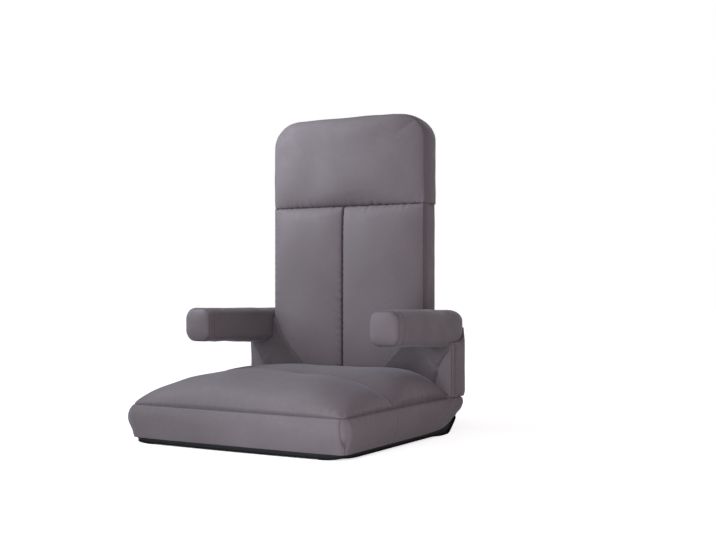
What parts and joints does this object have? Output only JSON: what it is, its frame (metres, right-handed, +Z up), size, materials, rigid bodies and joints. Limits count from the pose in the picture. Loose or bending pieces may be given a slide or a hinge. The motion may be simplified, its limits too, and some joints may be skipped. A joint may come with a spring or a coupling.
{
  "type": "folding floor chair",
  "caption": "Legless padded floor chair with a folding, reclining back, tilting head section, raising leg section and flip-up padded armrests.",
  "frame": {"origin": "on the floor under the middle of the footprint", "axes": "+Z up, the sitter faces -Y, +X to the side, left-right symmetric"},
  "size_m": [0.575, 0.558, 0.76],
  "materials": {
    "upholstery": "warm purple-grey coated cloth, matte with a soft sheen",
    "base_cloth": "black non-slip cloth",
    "zip_tape": "dark coil zip",
    "webbing": "black elastic webbing",
    "foam": "open-cell foam",
    "frame_steel": "black powder coat",
    "hinge_steel": "zinc-plated"
  },
  "bodies": {
    "root": {"seat_cover": "upholstery", "seat_foam": "foam", "seat_base_cloth": "base_cloth", "fold_foam": "foam", "seat_tail_left": "upholstery", "seat_tail_right": "upholstery", "seat_frame": "frame_steel", "seat_strap_front": "webbing", "seat_strap_rear": "webbing", "leg_hinge_fork_left": "hinge_steel", "leg_hinge_fork_right": "hinge_steel", "ratchet_seat_plate_left": "hinge_steel", "hinge_pin_left": "hinge_steel", "ratchet_seat_plate_right": "hinge_steel", "hinge_pin_right": "hinge_steel"},
    "leg": {"leg_cover": "upholstery", "leg_foam": "foam", "leg_base_cloth": "base_cloth", "leg_frame": "frame_steel", "leg_strap": "webbing", "leg_hinge_tongue_left": "hinge_steel", "leg_hinge_tongue_right": "hinge_steel"},
    "hinge_carrier": {"ratchet_pawl_left": "hinge_steel", "ratchet_pawl_right": "hinge_steel"},
    "back": {"ratchet_back_plate_left": "hinge_steel", "ratchet_back_plate_right": "hinge_steel", "back_frame": "frame_steel", "back_strap_lower": "webbing", "back_strap_upper": "webbing", "back_core_foam": "foam", "back_cover": "upholstery", "lumbar_pad_left": "upholstery", "lumbar_pad_right": "upholstery", "back_zip": "zip_tape", "zip_slider": "hinge_steel", "head_hinge_lower_left": "hinge_steel", "head_hinge_lower_right": "hinge_steel", "arm_bolt_left": "hinge_steel", "wing_plate_left": "frame_steel", "wing_pad_left": "upholstery", "wing_web_left": "upholstery", "arm_bolt_right": "hinge_steel", "wing_plate_right": "frame_steel", "wing_pad_right": "upholstery", "wing_web_right": "upholstery"},
    "head": {"head_cover": "upholstery", "head_foam": "foam", "head_frame": "frame_steel", "head_hinge_upper_left": "hinge_steel", "head_hinge_upper_right": "hinge_steel"},
    "arm_bracket_left": {"arm_bracket_left": "hinge_steel"},
    "arm_left": {"arm_cover_left": "upholstery", "arm_foam_left": "foam", "arm_end_cap_left": "upholstery", "arm_core_left": "frame_steel"},
    "arm_bracket_right": {"arm_bracket_right": "hinge_steel"},
    "arm_right": {"arm_cover_right": "upholstery", "arm_foam_right": "foam", "arm_end_cap_right": "upholstery", "arm_core_right": "frame_steel"}
  },
  "joints": [
    {"name": "leg_raise", "type": "hinge", "parent": "root", "child": "leg", "pos_m": [0, -0.061, 0.036], "axis": [1, 0, 0], "range_deg": [-35, 0], "deforming": ["fold_foam"]},
    {"name": "back_recline", "type": "hinge", "parent": "root", "child": "hinge_carrier", "pos_m": [0, 0.249, 0.058], "axis": [1, 0, 0], "range_deg": [-90, 0]},
    {"name": "back_fold", "type": "hinge", "parent": "hinge_carrier", "child": "back", "pos_m": [0, 0.249, 0.058], "axis": [1, 0, 0], "range_deg": [0, 50], "deforming": ["lumbar_pad_left", "lumbar_pad_right", "wing_pad_left", "wing_pad_right", "wing_web_left", "wing_web_right"]},
    {"name": "head_tilt", "type": "hinge", "parent": "back", "child": "head", "pos_m": [0, 0.247, 0.542], "axis": [1, 0, 0], "range_deg": [0, 30]},
    {"name": "arm_left_link", "type": "hinge", "parent": "back", "child": "arm_bracket_left", "pos_m": [-0.25, 0.24, 0.254], "axis": [1, 0, 0], "range_deg": [-61, 0]},
    {"name": "arm_left_flip", "type": "hinge", "parent": "arm_bracket_left", "child": "arm_left", "pos_m": [-0.25, 0.24, 0.254], "axis": [1, 0, 0], "range_deg": [-88, 0]},
    {"name": "arm_right_link", "type": "hinge", "parent": "back", "child": "arm_bracket_right", "pos_m": [0.25, 0.24, 0.254], "axis": [1, 0, 0], "range_deg": [-61, 0]},
    {"name": "arm_right_flip", "type": "hinge", "parent": "arm_bracket_right", "child": "arm_right", "pos_m": [0.25, 0.24, 0.254], "axis": [1, 0, 0], "range_deg": [-88, 0]}
  ],
  "couplings": [
    {"joint": "arm_left_link", "follows": "back_fold", "ratio": -1.2},
    {"joint": "arm_right_link", "follows": "back_fold", "ratio": -1.2}
  ]
}
